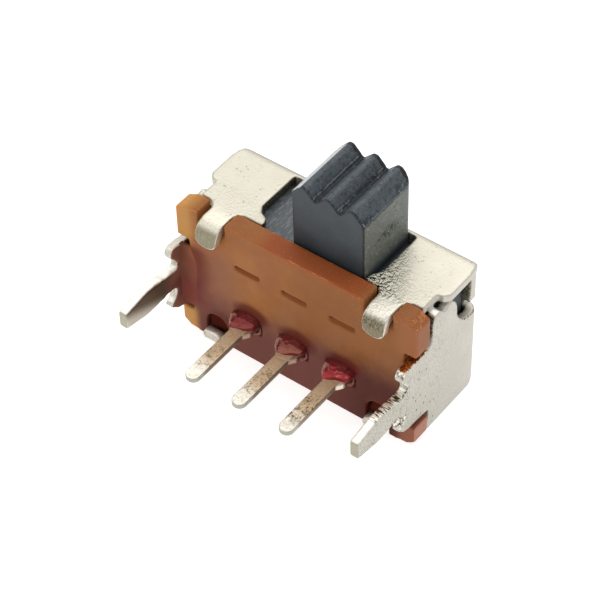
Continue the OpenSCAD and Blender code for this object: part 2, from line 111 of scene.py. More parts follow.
# %% The wire class
class Wire:
    """An output socket in a material. + - * / and ** add Math nodes; node() adds any other kind."""

    def __init__(self, tree, socket):
        self.tree, self.socket = tree, socket

    def node(self, kind, inputs, settings=None, out=0):
        """Adds a node of this kind: its settings, then a value or a Wire into each named input."""
        made = self.tree.nodes.new(kind)
        for name, value in (settings or {}).items():
            setattr(made, name, value)
        for name, value in inputs.items():
            if isinstance(value, Wire):
                self.tree.links.new(value.socket, made.inputs[name])
            else:
                made.inputs[name].default_value = value
        return Wire(self.tree, made.outputs[out])

    def maths(self, operation, left, other):
        return self.node("ShaderNodeMath", {0: left, 1: other}, {"operation": operation})

    def __add__(self, other):
        return self.maths("ADD", self, other)

    def __sub__(self, other):
        return self.maths("SUBTRACT", self, other)

    def __rsub__(self, other):
        return self.maths("SUBTRACT", other, self)

    def __mul__(self, other):
        return self.maths("MULTIPLY", self, other)

    def __truediv__(self, other):
        return self.maths("DIVIDE", self, other)

    def __pow__(self, other):
        return self.maths("POWER", self, other)

    def __abs__(self):
        return self.maths("ABSOLUTE", self, 0)

    __radd__, __rmul__ = __add__, __mul__


print("a wire understands + - * / ** and abs()")

# %% [markdown]
# ## Words for patterns
#
# Everything on this part is tenths of a millimetre across, so patterns are asked for by the real
# size of their blobs. Each of these helpers takes wires and gives a wire: clouds, spots, a step
# from 0 to 1, a band between two heights, and a blend of two colours.

# %% Helpers for patterns
def paint(red, green, blue):
    """A colour as a screen shows it, 0 to 255, in the linear numbers that light is made of."""
    shown = (red, green, blue)
    return (*(((v / 255 + 0.055) / 1.055) ** 2.4 if v > 10 else v / 3294.6 for v in shown), 1)


def sized(place, size, stretch=(1, 1, 1), turn=(0, 0, 0), shift=0.0, slip=(0, 0, 0)):
    """The place, turned, slipped and divided by the blob size, so a blob fills one unit."""
    scale = tuple(1 / (size * s) for s in stretch)
    moved = (shift, shift, shift)
    turned = place.node("ShaderNodeMapping", {"Vector": place, "Rotation": turn, "Location": slip})
    return turned.node("ShaderNodeMapping", {"Vector": turned, "Scale": scale, "Location": moved})


def clouds(place, size, detail=3.0, rough=0.55, bend=0.0, **where):
    """Soft noise from 0 to 1, its blobs about that size across, drawn out by stretch."""
    look = {"Scale": 1, "Detail": detail, "Roughness": rough, "Distortion": bend}
    return place.node("ShaderNodeTexNoise", {"Vector": sized(place, size, **where), **look})


def cells(place, size, wild=1.0, **where):
    """The distance in blobs to the nearest of many scattered points, about 0.6 between them."""
    look = {"Scale": 1, "Randomness": wild}
    return place.node("ShaderNodeTexVoronoi", {"Vector": sized(place, size, **where), **look})


def rise(value, low, high):
    """0 below low, 1 above high, an S-shaped slope between; it falls if low is above high."""
    limits = {"Value": value, "From Min": low, "From Max": high}
    return value.node("ShaderNodeMapRange", limits, {"interpolation_type": "SMOOTHSTEP"})


def band(value, low, high, soft):
    """1 between low and high, fading to 0 over soft outside them."""
    return rise(value, low - soft, low) * rise(value, high + soft, high)


def blend(mask, under, over):
    """The colour under where the mask is 0 and the colour over where it is 1."""
    return mask.node("ShaderNodeMix", {0: mask, 6: under, 7: over}, {"data_type": "RGBA"}, out=2)


print("pattern helpers:", [helper.__name__ for helper in (clouds, cells, rise, band, blend)])

# %% Helpers for places and layers
def parts(vector):
    """The three numbers of a vector, each on a wire of its own."""
    split = vector.node("ShaderNodeSeparateXYZ", {"Vector": vector})
    return [Wire(vector.tree, split.socket.node.outputs[k]) for k in range(3)]


def axes(place):
    """The three coordinates of a place in millimetres."""
    return [along * 1000 for along in parts(place)]


def facing(place):
    """How far the surface faces the right, the back and the sky, each from -1 to 1."""
    return parts(place.node("ShaderNodeNewGeometry", {}, out="Normal"))


def turning(place):
    """1 where the surface turns from one main direction to another, and 0 on flat sides."""
    east, north, sky = (abs(along) for along in facing(place))
    return rise(east.maths("MAXIMUM", east.maths("MAXIMUM", east, north), sky), 0.975, 0.88)


def from_terminal(x):
    """How far a place lies to the right of the nearest terminal's middle, in millimetres."""
    return x - PITCH * (x / PITCH).maths("ROUND", x / PITCH, 0)


def apart(across, above):
    """The length of a step that goes this far across and this far above."""
    return (across * across + above * above) ** 0.5


def lay(colour, *coats):
    """The colour with coats over it in turn, each a mask and what shows where the mask is 1."""
    for mask, over in coats:
        colour = blend(mask, colour, over)
    return colour


def relief(place, size, **where):
    """Fine folds lit from the back left, 0.5 on the flat: a cloud less the same cloud slipped."""
    near = clouds(place, size, **where)
    far = clouds(place, size, slip=(0.2 * size, -0.25 * size, 0), **where)
    return 0.5 + 2.4 * (far - near)


print("place helpers:", [helper.__name__ for helper in (axes, facing, turning, apart, lay, relief)])

# %% [markdown]
# ## Starting and closing a finish
#
# Every finish begins the same way: a Principled shader whose constant sockets are set, and the
# object's own coordinates, which stay with the metal when the slider moves. It ends the same way
# too: a colour, a roughness and a height map that tips the surface. Where the finish needs to
# know its edges, the Bevel node compares the surface with a rounded copy of itself.

# %% Helpers for finishes
def start_finish(name, **constants):
    """A new material, its shader with these sockets set, and the place wire for patterns."""
    material = bpy.data.materials.new(name)
    material.use_nodes = True
    shader = material.node_tree.nodes["Principled BSDF"]
    for socket, value in constants.items():
        shader.inputs[socket.replace("_", " ")].default_value = value
    coordinates = material.node_tree.nodes.new("ShaderNodeTexCoord")
    return material, shader, Wire(material.node_tree, coordinates.outputs["Object"])


def close_finish(material, shader, colour, roughness, height, depth, normal=None):
    """Plugs in what varies. The height is 0 to 1 and stands for depth metres of real relief."""
    inputs = {"Height": height, "Distance": depth, "Strength": 1.0}
    if normal is not None:
        inputs["Normal"] = normal
    bumped = height.node("ShaderNodeBump", inputs)
    for socket, wire in (("Base Color", colour), ("Roughness", roughness), ("Normal", bumped)):
        material.node_tree.links.new(wire.socket, shader.inputs[socket])
    print(material.name, "has", len(material.node_tree.nodes), "nodes")
    return material


def edges(place, radius):
    """0 on a flat face and 1 on a sharp outer or inner edge, over radius metres either side."""
    rounded = place.node("ShaderNodeBevel", {"Radius": radius}, {"samples": 6})
    flat = place.node("ShaderNodeNewGeometry", {}, out="Normal")
    lean = place.node(
        "ShaderNodeVectorMath", {0: rounded, 1: flat}, {"operation": "DOT_PRODUCT"}, out="Value",
    )
    return rise(lean, 0.995, 0.80)


print("every finish starts with", start_finish.__name__, "and ends with", close_finish.__name__)

# %% [markdown]
# ## Sheet metal of the frame
#
# The frame is stamped from steel and plated with tin. Tin is a warm ivory that goes grey-green in
# its pits. The press has wrinkled the sheet beside the knob, and the tabs that fold over the board
# are scratched along their length. Pits, wrinkles and scratches are separate patterns, each kept to
# its own place by a mask. Light and shade are painted in as well: painted highlights along the
# edges, on the tab bends and on the tops of the legs and hooks, a right flap painted lighter,
# painted shade and highlights on the wrinkles, and painted shade on the right end wall, the tab
# fronts, the back, the slot walls, the leg tips and the hooks' sides. The left wall's inner face is
# painted brown as the board's reflection and shade, and a brown crust has settled on the right ear.

# %% The frame's finish
def tin_finish():
    material, shader, place = start_finish("tin_plate", Metallic=1.0)
    x, y, z = axes(place)
    east, north, sky = facing(place)
    fine = clouds(place, 0.09 * MM, detail=4, rough=0.65)
    broad = clouds(place, 1.3 * MM, detail=4, rough=0.6)
    pits = (
        rise(cells(place, 0.16 * MM), 0.24, 0.10)
        * rise(clouds(place, 0.5 * MM, shift=3), 0.5, 0.64)
    )
    folds = relief(place, 0.18 * MM, detail=3, rough=0.6, bend=0.9)
    grain = relief(place, 0.11 * MM, detail=2, rough=0.6, shift=4)
    strokes = clouds(place, 0.10 * MM, detail=2, stretch=(5, 1, 5), shift=21)
    jag = clouds(place, 0.14 * MM, detail=2, shift=22)
    up = rise(sky, 0.35, 0.75)
    flap = up * rise(z, 6.2, 6.9)
    by_knob = (
        rise(x + 0.6 * (y + 1.45) + 1.4 * (broad - 0.5), 5.6, 3.6) * rise(x, 2.0, 2.6)
        * rise(z, 6.5, 6.8)
    )
    tab = rise(y, -2.3, -2.55) * rise(z, 4.8, 5.3)
    tab_face = tab * rise(north, -0.55, -0.85)
    tab_bend = (
        rise(y, -1.3, -2.0) * rise(z, 4.8, 5.3) * rise(north, -0.95, -0.6)
        * rise(abs(abs(x) - TAB_X), 0.75, 0.6)
    )
    tab_rim = tab * turning(place) * rise(z, 6.5, 6.35)
    streaks = clouds(place, 0.05 * MM, detail=2, stretch=(1, 1, 10), shift=7)
    leg = rise(y, -2.55, -2.8) * rise(z, 4.7, 4.3)
    inner_side = rise(east, 0.5, 0.8) * rise(x, -5.0, -5.4) * rise(z, 5.4, 5.2)
    right_side = rise(east, 0.5, 0.8) * rise(x, 5.4, 5.8)
    right = rise(x, 5.3, 5.6)
    crust = right * up * band(z, 4.85, 5.25, 0.1) * band(y + 0.5 * (fine - 0.5), -3.0, -1.4, 0.05)
    hook = right * band(z, 5.3, 6.75, 0.08) * (1 - right_side)
    slot_wall = rise(abs(east), 0.5, 0.8) * rise(z, 6.7, 6.8) * rise(abs(x), 3.6, 3.4)
    rim = edges(place, 0.07 * MM)
    dashes = (
        rise(cells(place, 0.26 * MM, stretch=(1, 1, 1.8), shift=31), 0.20, 0.12)
        * rise(y, 0.2, -1.2)
    )
    across, above = y + 2.7, z - 2.7
    leg_strip = leg * up * right * band(y, -4.9, -2.9, 0.3)
    # the jagged edges at the right end, which get painted shade and highlights
    ragged_edge_shade_and_highlight = (rim + turning(place)) * right * band(y, -3.5, -1.6, 0.2) * rise(z, 6.0, 5.6)
    loop = (rim + turning(place)) * right * rise(y, 0.2, 0.7) * band(z, 4.4, 7.0, 0.1)
    colour = blend(rise(broad, 0.3, 0.75), paint(214, 209, 198), paint(205, 200, 188))
    colour = lay(
        colour,
        # plain plate and its pits; the right end wall is painted darker as a side in shade
        (right_side * 0.8, paint(197, 193, 184)),
        (rise(fine, 0.35, 0.75) * 0.25, paint(182, 177, 163)),
        # the flap tops, the right one painted lighter where more light falls
        (flap * 0.9, blend(rise(x, -1, 1), paint(210, 205, 190), paint(219, 214, 199))),
        (
            rise(grain, 0.44, 0.34) * (0.10 + 0.25 * leg + 0.2 * rise(y, 0.5, -0.8)),
            paint(140, 135, 116),
        ),
        (pits * 0.8, paint(112, 110, 90)),
        (dashes * right_side * rise(broad, 0.35, 0.55), paint(124, 118, 96)),
        # painted shade and painted highlights of the wrinkles beside the knob
        (by_knob * rise(folds, 0.465, 0.43) * (1 - 0.7 * tab_bend), paint(54, 48, 30)),
        (by_knob * rise(folds, 0.48, 0.51), paint(255, 253, 234)),
        # tabs: a painted highlight on the bend, painted shade on the fronts below with streaks, and
        # a painted highlight along the rims
        (
            tab_bend * (0.5 + 0.5 * rise(folds, 0.44, 0.50)),
            blend(rise(x, -1, 1), paint(228, 224, 206), paint(240, 236, 222)),
        ),
        (tab_face * 0.85, blend(rise(x, -1, 1), paint(138, 131, 106), paint(118, 108, 82))),
        (tab_face * rise(streaks, 0.50, 0.70) * 0.3, paint(200, 194, 168)),
        (tab_face * rise(streaks, 0.44, 0.34) * 0.2, paint(96, 90, 64)),
        (tab_rim * 0.9, paint(252, 249, 238)),
        # the left wall's inner face, painted brown with a maroon patch as the board's reflection
        # and shade, greyer on its leg, and with a painted lit patch low at the leg's front
        (inner_side, paint(112, 66, 50)),
        (inner_side * rise(y, -3.6, -3.0) * 0.4, paint(150, 96, 76)),
        (inner_side * rise(apart(across, above) + 0.3 * broad, 1.1, 0.5) * 0.7, paint(96, 34, 34)),
        (inner_side * rise(y, -3.2, -4.0), paint(112, 96, 78)),
        (inner_side * rise(y, -3.4, -4.0) * rise(z + 0.35 * y, 1.75, 1.0), paint(206, 200, 186)),
        # painted highlight on the legs' tops and painted shade on their tips; dark serrations on
        # the right leg
        (leg * up * 0.9, paint(252, 249, 238)),
        (leg * rise(north, -0.5, -0.8) * rise(y, -5.9, -6.1) * 0.8, paint(168, 162, 144)),
        (leg_strip * rise(strokes, 0.50, 0.44), paint(84, 66, 40)),
        # the hook at the right end, painted shade on its sides and a painted highlight on its tops,
        # and the crust
        (hook * rise(fine, 0.2, 0.8) * (1 - up), paint(120, 114, 88)),
        (hook * rise(jag, 0.50, 0.42) * (1 - up) * 0.8, paint(92, 86, 58)),
        (hook * up, paint(250, 248, 240)),
        (crust, paint(142, 76, 32)),
        (crust * rise(jag, 0.44, 0.58), paint(222, 136, 66)),
        # painted shade on the slot walls and the back faces, painted highlights along the edges,
        # painted shade and highlights on the jagged edges at the right end, and painted shade on
        # the loop's rims
        (slot_wall * 0.9, paint(78, 68, 50)),
        (slot_wall * rise(fine, 0.52, 0.62), paint(160, 152, 128)),
        (rise(north, 0.3, 0.6) * rise(z, 6.2, 6.6) * 0.7, paint(160, 158, 148)),
        (rim * rise(clouds(place, 0.15 * MM, shift=5), 0.3, 0.5) * 0.8, paint(240, 236, 222)),
        (ragged_edge_shade_and_highlight * rise(jag, 0.48, 0.40) * 0.7, paint(96, 86, 62)),
        (ragged_edge_shade_and_highlight * rise(jag, 0.48, 0.56) * 0.8, paint(252, 250, 242)),
        (loop * rise(jag, 0.54, 0.46) * 0.8, paint(104, 98, 64)),
    )
    roughness = 0.40 + 0.16 * broad + 0.12 * fine
    quiet = 1 - 0.75 * (flap + right_side) * (1 - by_knob)
    wrinkles = by_knob * (1 - 0.85 * tab_bend) * (folds - 0.5)
    height = (
        0.5 + (0.10 * fine + 0.08 * broad) * quiet - 0.4 * pits + 1.6 * wrinkles
        + 0.12 * tab * streaks
    )
    # Metallic is lowered where the wall's inner face is painted brown, so the painted colour shows.
    metalness = 1 - 0.9 * inner_side * rise(y, -4.0, -3.2)
    material.node_tree.links.new(metalness.socket, shader.inputs["Metallic"])
    return close_finish(material, shader, colour, roughness, height, 0.03 * MM)


tin = tin_finish()

# %% [markdown]
# ## Resin paper of the board
#
# The board is punched from a brown resin-paper laminate. It is a little see-through, so it glows
# orange at its thin corners and along its top; that glow is painted. It is darker towards its
# bottom and mauve low on its right end. Painted shade lies along the tops of the marks sunk in its
# face, on its sunken faces low down, in the notches over the base tabs and on the board round them.
# All of that is laid on with heights and distances from the board's own box. A trace of light
# passing below the surface makes it waxy.

# %% The board's finish
def laminate_finish():
    material, shader, place = start_finish(
        "resin_paper", Metallic=0.0, Specular_IOR_Level=0.12,
        Subsurface_Weight=0.35, Subsurface_Radius=(1.0, 0.35, 0.12), Subsurface_Scale=0.5 * MM,
    )
    x, y, z = axes(place)
    east, north, sky = facing(place)
    broad = clouds(place, 1.6 * MM, detail=3)
    fibres = clouds(place, 0.12 * MM, detail=3, stretch=(3, 1, 1))
    flecks = (
        rise(cells(place, 0.22 * MM, shift=5), 0.18, 0.06)
        * rise(clouds(place, 0.8 * MM, shift=9), 0.50, 0.60)
    )
    low = rise(z + 1.2 * broad - 0.12 * x, 4.8, 2.6)
    left_end = rise(x + 0.8 * broad, -3.8, -4.9) * band(z, 1.5, 5.0, 0.5)
    corner = rise(abs(x) + 0.3 * broad, 5.3, 5.9) * (rise(z, 5.0, 5.8) + rise(z, 1.6, 1.0))
    right_edge = rise(east, 0.4, 0.75) * rise(x, 5.0, 5.6)
    top = (0.25 + rise(sky, 0.2, 0.6)) * rise(z, 6.9, 7.3) * band(x, -1.2, 2.9, 0.9)
    sunk = rise(y, -2.42, -2.36) * rise(north, -0.3, -0.6)
    in_mark = rise(y, -2.42, -2.36) * band(z, 5.0, 5.6, 0.1)
    # the notches over the base tabs, painted dark as shade
    notch_recess_shade = rise(abs(abs(x) - BASE_TAB_X), 0.62, 0.54) * rise(y, -2.46, -2.42) * rise(z, 1.7, 1.6)
    rubbed = clouds(place, 0.12 * MM, detail=3, rough=0.7, stretch=(6, 1, 1), shift=15)
    scuffs = rise(rubbed, 0.52, 0.62)
    dust = rise(clouds(place, 0.10 * MM, detail=3, rough=0.7, shift=12), 0.56, 0.66)
    worn = (
        rise(z, 7.0, 7.3) + rise(z, 5.6, 6.4) * rise(abs(x - 3.2), 0.7, 0.3)
        + rise(east, 0.1, 0.4) * rise(z, 4, 5)
    )
    colour = blend(rise(broad, 0.3, 0.7), paint(149, 94, 53), paint(162, 105, 58))
    colour = lay(
        colour,
        (rise(x, -2.6, -4.2) * rise(z, 6.4, 5.2) * 0.6, paint(141, 91, 72)),
        (rise(x, -1.5, 1.0) * 0.45, paint(122, 75, 40)),
        (low, blend(rise(x, 0.5, 4.0), paint(106, 56, 45), paint(78, 26, 12))),
        (left_end, paint(116, 58, 42)),
        (rise(x + 0.5 * broad, -4.5, -5.3) * band(z, 2.1, 3.1, 0.5) * 0.6, paint(104, 30, 30)),
        (corner * rise(x, 0, -1), paint(185, 133, 71)),
        (corner * rise(x, 0, 1) * rise(z, 2, 4), paint(151, 95, 58)),
        (corner * rise(x, 0, 1) * rise(z, 4, 2), paint(139, 84, 62)),
        (top, paint(151, 79, 42)),
        (right_edge * rise(z, 2, 4), paint(151, 97, 64)),
        (right_edge * rise(z, 4, 2), paint(174, 124, 106)),
    )
    for centre in (-PITCH, 0.0, PITCH):
        across, above = x - (centre + 0.12), z - 2.82
        spread = (across * across + above * above * 2.6) ** 0.5 + 0.3 * broad
        colour = blend(rise(spread, 1.40, 0.85) * 0.75, colour, paint(92, 26, 28))
    colour = lay(
        colour,
        # the marks with painted shade along their tops, and painted shade on the sunken faces low
        # down and in the notches
        (in_mark, blend(rise(z, 5.16, 5.30), paint(150, 88, 44), paint(112, 60, 28))),
        (sunk * rise(z, 2.3, 2.1), paint(132, 56, 38)),
        (notch_recess_shade, paint(100, 40, 26)),
        (turning(place) * rise(z, 7.0, 7.2) * scuffs * 0.6, paint(214, 140, 84)),
    )
    # painted shade on the board round the notches over the base tabs
    for centre in (-4.05, 4.65):
        across, above = x - centre, z - 1.15
        colour = blend(rise(apart(across, above), 1.0, 0.6) * 0.6, colour, paint(88, 36, 22))
    colour = lay(
        colour,
        (dust * worn * 0.22, paint(206, 130, 74)),
        (flecks * 0.4 * rise(z, 5.2, 6.2), paint(222, 160, 110)),
    )
    roughness = 0.45 + 0.12 * fibres
    height = 0.5 + 0.25 * fibres + 0.3 * broad + flecks * 0.3
    return close_finish(material, shader, colour, roughness, height, 0.012 * MM)


laminate = laminate_finish()

# %% [markdown]
# ## Plating of the terminals
#
# The terminals are flat brass strips with a thin, uneven tin plate. The plate is bright at the
# rounded tips and rubbed through to tan and speckled near the board, and the sheared sides are
# browner than the faces.

# %% The terminals' finish
def terminal_finish():
    material, shader, place = start_finish("plated_brass", Metallic=1.0)
    x, y, z = axes(place)
    broad = clouds(place, 0.9 * MM, detail=3)
    fine = clouds(place, 0.1 * MM, detail=4, rough=0.7, stretch=(1, 1.6, 1))
    specks = rise(clouds(place, 0.15 * MM, detail=3, rough=0.7, bend=0.6), 0.50, 0.62)
    bright = rise(y + 1.2 * broad, -4.3, -5.6)
    tip = rise(y + 0.5 * broad, -5.5, -5.9)
    middle = band(y + 0.8 * broad, -5.5, -4.1, 0.4)
    sides = rise(abs(z - PIN_Z), 0.145, 0.10)
    rim = edges(place, 0.05 * MM)
    across = abs(from_terminal(x))
    stub = rise(across, 0.33, 0.39) * rise(y, -2.95, -3.05)
    many = middle * (0.5 + 0.4 * rise(x, 1, 1.5))
    colour = blend(bright, paint(226, 208, 176), paint(255, 254, 242))
    colour = lay(
        colour,
        (rise(fine, 0.4, 0.75) * 0.35, paint(166, 142, 112)),
        (rise(broad, 0.5, 0.7) * many * 0.5, paint(128, 112, 76)),
        (specks * (0.06 + many) * (1 - tip), paint(112, 96, 64)),
        (sides * 0.9, blend(tip, paint(104, 86, 66), paint(160, 164, 150))),
        (rim * 0.45, paint(214, 202, 178)),
        (stub, paint(176, 146, 128)),
        (stub * rise(x, 1, 1.5), paint(244, 232, 214)),
    )
    roughness = 0.40 + 0.2 * fine
    height = 0.5 + 0.3 * fine - 0.5 * specks
    return close_finish(material, shader, colour, roughness, height, 0.012 * MM)


plated = terminal_finish()

# %% [markdown]
# ## Plastic of the slider
#
# The slider is moulded in slate-black plastic. Its right flank is greyer and pitted, its valleys
# are the darkest, with painted shade in them and a painted highlight beside each, the left slope of
# the first ridge is painted pale as a reflection, and the mould has left chipped, nearly black
# edges at the ends of the ridges.

# %% The slider's finish
def slider_finish():
    material, shader, place = start_finish("slate_plastic", Metallic=0.0, Specular_IOR_Level=0.35)
    x, y, z = axes(place)
    north = facing(place)[1]
    broad = clouds(place, 1.1 * MM, detail=3)
    fine = clouds(place, 0.1 * MM, detail=4, rough=0.65)
    chips = clouds(place, 0.16 * MM, detail=3, rough=0.7, bend=1.0, shift=8)
    pits = (
        rise(cells(place, 0.2 * MM, shift=2), 0.26, 0.12)
        * rise(clouds(place, 0.6 * MM, shift=4), 0.52, 0.58)
    )
    slanted = clouds(place, 0.06 * MM, detail=2, stretch=(1, 8, 1), turn=(0.5, 0, 0), shift=6)
    scratch = rise(slanted, 0.62, 0.70)
    grazes = rise(clouds(place, 0.16 * MM, detail=3, rough=0.7, bend=1.2, shift=14), 0.51, 0.56)
    crown = rise(z, 10.10, 10.18) * rise(abs(north), 0.85, 0.6)
    flank = rise(x, 2.72, 2.78) * rise(z, 7.0, 7.6) * rise(crown, 1, 0)
    ridge_left = rise(x, -0.36, -0.42) * crown
    valley = rise(z, 10.52, 10.32) * crown * rise(x, -0.6, -0.4) * rise(x, 2.7, 2.5)
    jagged = y + 0.36 * (chips - 0.5)
    lip = (
        rise(jagged, -1.23, -1.26) * rise(north, -0.97, -0.90) * rise(z, 10.0, 10.1)
        * (0.3 + 0.7 * rise(fine, 0.45, 0.52))
    )
    far_edge = rise(jagged, 1.86, 1.92) * rise(north, 0.95, 0.85) * rise(z, 9.6, 9.8)
    near = (band(y, -1.22, -0.7, 0.2) + band(y, 1.2, 1.9, 0.2)) * rise(z, 10.5, 10.3) * crown
    scuffed = rise(x, -0.9, -1.1) * rise(z, 5.8, 6.2)
    grazed = grazes * flank * rise(abs(y - 0.5) * 0.7 + abs(z - 8.68) * 2, 0.85, 0.5)
    streaks = clouds(place, 0.09 * MM, detail=3, rough=0.7, stretch=(1, 4, 1), shift=17)
    corners = (
        rise(abs(x - KNOB_X) - y, 3.04, 3.09) * rise(z, 6.75, 6.9) * rise(z, 10.2, 10.1)
        * rise(x, -0.95, -0.90)
    )
    seam = (
        rise(x, 2.66, 2.72) * band(z + 0.16 * (chips - 0.5), 10.08, 10.14, 0.02)
        * rise(chips, 0.40, 0.48)
    )
    wander = x + 0.10 * (broad - 0.5) + 0.08 * (chips - 0.5)
    speckle = clouds(place, 0.13 * MM, detail=4, rough=0.7, bend=0.8, shift=26)
    patchy = clouds(place, 0.3 * MM, detail=3, rough=0.6, shift=27)
    cracks = (
        crown * band(chips, 0.490, 0.505, 0.012) * rise(z, 10.62, 10.50) * rise(patchy, 0.46, 0.54)
    )
    colour = blend(rise(broad, 0.3, 0.7), paint(47, 56, 62), paint(55, 64, 69))
    colour = lay(
        colour,
        (rise(fine, 0.4, 0.8) * 0.35, paint(76, 81, 86)),
        # crown, scuffed side and right flank
        (crown * 0.6, paint(84, 92, 97)),
        (scuffed * (0.35 + 0.5 * rise(streaks, 0.50, 0.62)), paint(120, 124, 126)),
        (flank * 0.9, paint(96, 100, 93)),
        (flank * rise(patchy, 0.5, 0.7) * 0.6, paint(112, 116, 109)),
        (flank * rise(fine, 0.5, 0.7) * 0.5, paint(142, 146, 138)),
        (flank * rise(fine, 0.45, 0.30) * 0.6, paint(70, 72, 66)),
        # painted shade in the valleys, and the grain of the crown
        (valley * (0.5 + 0.5 * rise(chips, 0.54, 0.46)), paint(26, 30, 40)),
        (crown * rise(streaks, 0.58, 0.66) * 0.6, paint(34, 38, 46)),
        (crown * rise(streaks, 0.42, 0.34) * 0.35, paint(112, 118, 120)),
        (crown * rise(speckle, 0.54, 0.62) * 0.6, paint(32, 36, 46)),
        (crown * rise(speckle, 0.44, 0.36) * 0.4, paint(112, 118, 126)),
        (cracks * 0.9, paint(10, 12, 16)),
    )
    # along each valley: painted shade at its bottom and on one side, and a painted highlight on the
    # other
    for bottom in VALLEYS:
        off = wander - bottom
        colour = blend(crown * band(off, -0.05, 0.0, 0.03) * 0.8, colour, paint(14, 16, 24))
        colour = blend(
            crown * band(off, -0.13, -0.11, 0.02) * rise(broad, 0.35, 0.5) * 0.7, colour,
            paint(128, 134, 142),
        )
        colour = blend(
            crown * band(off, 0.10, 0.13, 0.03) * rise(chips, 0.44, 0.54), colour,
            paint(12, 14, 18),
        )
    colour = lay(
        colour,
        # scratches, pits and grazes
        (flank * scratch * 0.5, paint(176, 178, 170)),
        (pits * (0.15 + 0.8 * flank), paint(16, 18, 20)),
        (grazed * 0.95, paint(12, 14, 16)),
        # edges: chipped nearly black; the first ridge's left slope painted pale as a reflection
        (corners * 0.85, paint(18, 20, 24)),
        (seam, paint(14, 16, 18)),
        (ridge_left * 0.9, paint(190, 192, 194)),
        (near * rise(chips, 0.52, 0.46) * 0.8, paint(12, 14, 18)),
        (near * rise(chips, 0.62, 0.68) * 0.8, paint(170, 176, 178)),
        ((lip + far_edge) * 0.9, paint(10, 12, 15)),
    )
    roughness = 0.42 + 0.15 * fine - 0.06 * broad
    height = (
        0.5 + 0.15 * fine + 0.2 * broad - 0.7 * (pits * flank + grazed)
        + (near + 0.5 * valley) * chips
    )
    return close_finish(material, shader, colour, roughness, height, 0.02 * MM)


plastic = slider_finish()

# %% [markdown]
# ## Sealing resin
#
# A drop of red lacquer seals each terminal where it enters the board. It has only a faint gloss.
# Its upward facets are painted pinker as lit, painted highlights run along its creases, its left
# flank is painted pale as a reflection, and it is almost maroon where it runs into the board.

# %% The sealing resin's finish
def resin_finish():
    material, shader, place = start_finish(
        "red_lacquer", Metallic=0.0, Specular_IOR_Level=0.10,
        Coat_Weight=0.06, Coat_Roughness=0.05,
    )
    x, y, z = axes(place)
    sky = facing(place)[2]
    fine = clouds(place, 0.12 * MM, detail=3)
    broad = clouds(place, 0.4 * MM, detail=3)
    across = from_terminal(x)
    above = rise(z, 2.46, 2.52)
    on_top = rise(sky + 0.4 * (broad - 0.5), 0.55, 0.80) * above
    mound = above * rise(y + 0.15 * (broad - 0.5), -2.78, -2.70)
    below = rise(z, 2.50, 2.40)
    inside = rise(y, -2.44, -2.38)
    right = rise(x, 1, 1.5)
    creases = edges(place, 0.05 * MM) * rise(fine, 0.45, 0.55) * above * rise(y, -2.55, -2.70)
    colour = blend(right, paint(114, 42, 40), paint(134, 34, 40))
    colour = lay(
        colour,
        # the upward facets painted pinker and brighter as lit, with a painted highlight on the
        # right lump
        (on_top, blend(right, paint(158, 76, 76), paint(176, 62, 68))),
        (on_top * right * rise(broad, 0.50, 0.62), paint(226, 122, 114)),
        (rise(abs(x), 1.2, 0.8) * on_top, paint(162, 98, 84)),
        (mound * 0.9, paint(102, 32, 30)),
        # the left flank and the splinter painted pale as a reflection
        (above * rise(across, -0.44, -0.58) * rise(y, -2.6, -2.7), paint(176, 132, 122)),
        (below, paint(132, 78, 70)),
        (inside, paint(96, 36, 34)),
        # painted highlights along the creases
        (creases * (0.4 + 0.5 * right), paint(226, 176, 166)),
    )
    roughness = 0.24 + 0.2 * fine
    height = 0.5 + 0.4 * fine + 0.6 * broad
    return close_finish(material, shader, colour, roughness, height, 0.03 * MM)


lacquer = resin_finish()

# %% [markdown]
# ## Brown varnish, and painted shade in the notches
#
# The varnish in the corners is thin, so it takes the colour of what lies below: the wall, painted
# brown, on one side and the board on the other, with a red patch level with the terminals where the
# two ran together. The drops in the notches over the base tabs are painted dark as shade.

# %% The varnish's finish
def varnish_and_notch_shade_finish():
    material, shader, place = start_finish("brown_varnish_and_notch_shade", Metallic=0.0, Specular_IOR_Level=0.0)
    x, _, z = axes(place)
    fine = clouds(place, 0.12 * MM, detail=3)
    broad = clouds(place, 0.8 * MM, detail=3)
    colour = blend(
        rise(x + 0.3 * (broad - 0.5), -6.05, -5.40), paint(112, 70, 56), paint(134, 80, 66),
    )
    colour = lay(
        colour,
        (rise(z, 4.3, 5.0) * rise(x, -5.9, -5.5) * 0.7, paint(152, 94, 62)),
        (band(z + 0.8 * broad, 2.6, 3.0, 1.0) * 0.45, paint(128, 56, 56)),
        # the drops in the notches, painted dark as shade
        (rise(z, 1.8, 1.6) * rise(abs(x), 5.2, 5.1), paint(74, 30, 20)),
    )
    roughness = 0.36 + 0.2 * fine
    height = 0.5 + 0.3 * fine + 0.3 * broad
    return close_finish(material, shader, colour, roughness, height, 0.01 * MM)


varnish = varnish_and_notch_shade_finish()

# %% [markdown]
# ## The parts inside
#
# Inside sit a sprung contact, a coil spring and a steel ball. They are hidden while the switch is
# whole, so one simple recipe serves all three: drawn metal with a little tarnish, in the colour
# of each.

# %% Finishes for the inner metal parts
def inner_metal(name, clean, tarnish, grain):
    material, shader, place = start_finish(name, Metallic=1.0)
    fine = clouds(place, 0.08 * MM, detail=4, stretch=grain)
    broad = clouds(place, 0.6 * MM, detail=3, shift=2)
    colour = blend(rise(broad, 0.4, 0.7) * 0.6, clean, tarnish)
    colour = blend(rise(fine, 0.45, 0.75) * 0.35, colour, tarnish)
    return close_finish(material, shader, colour, 0.22 + 0.25 * fine, 0.5 + 0.4 * fine, 0.006 * MM)


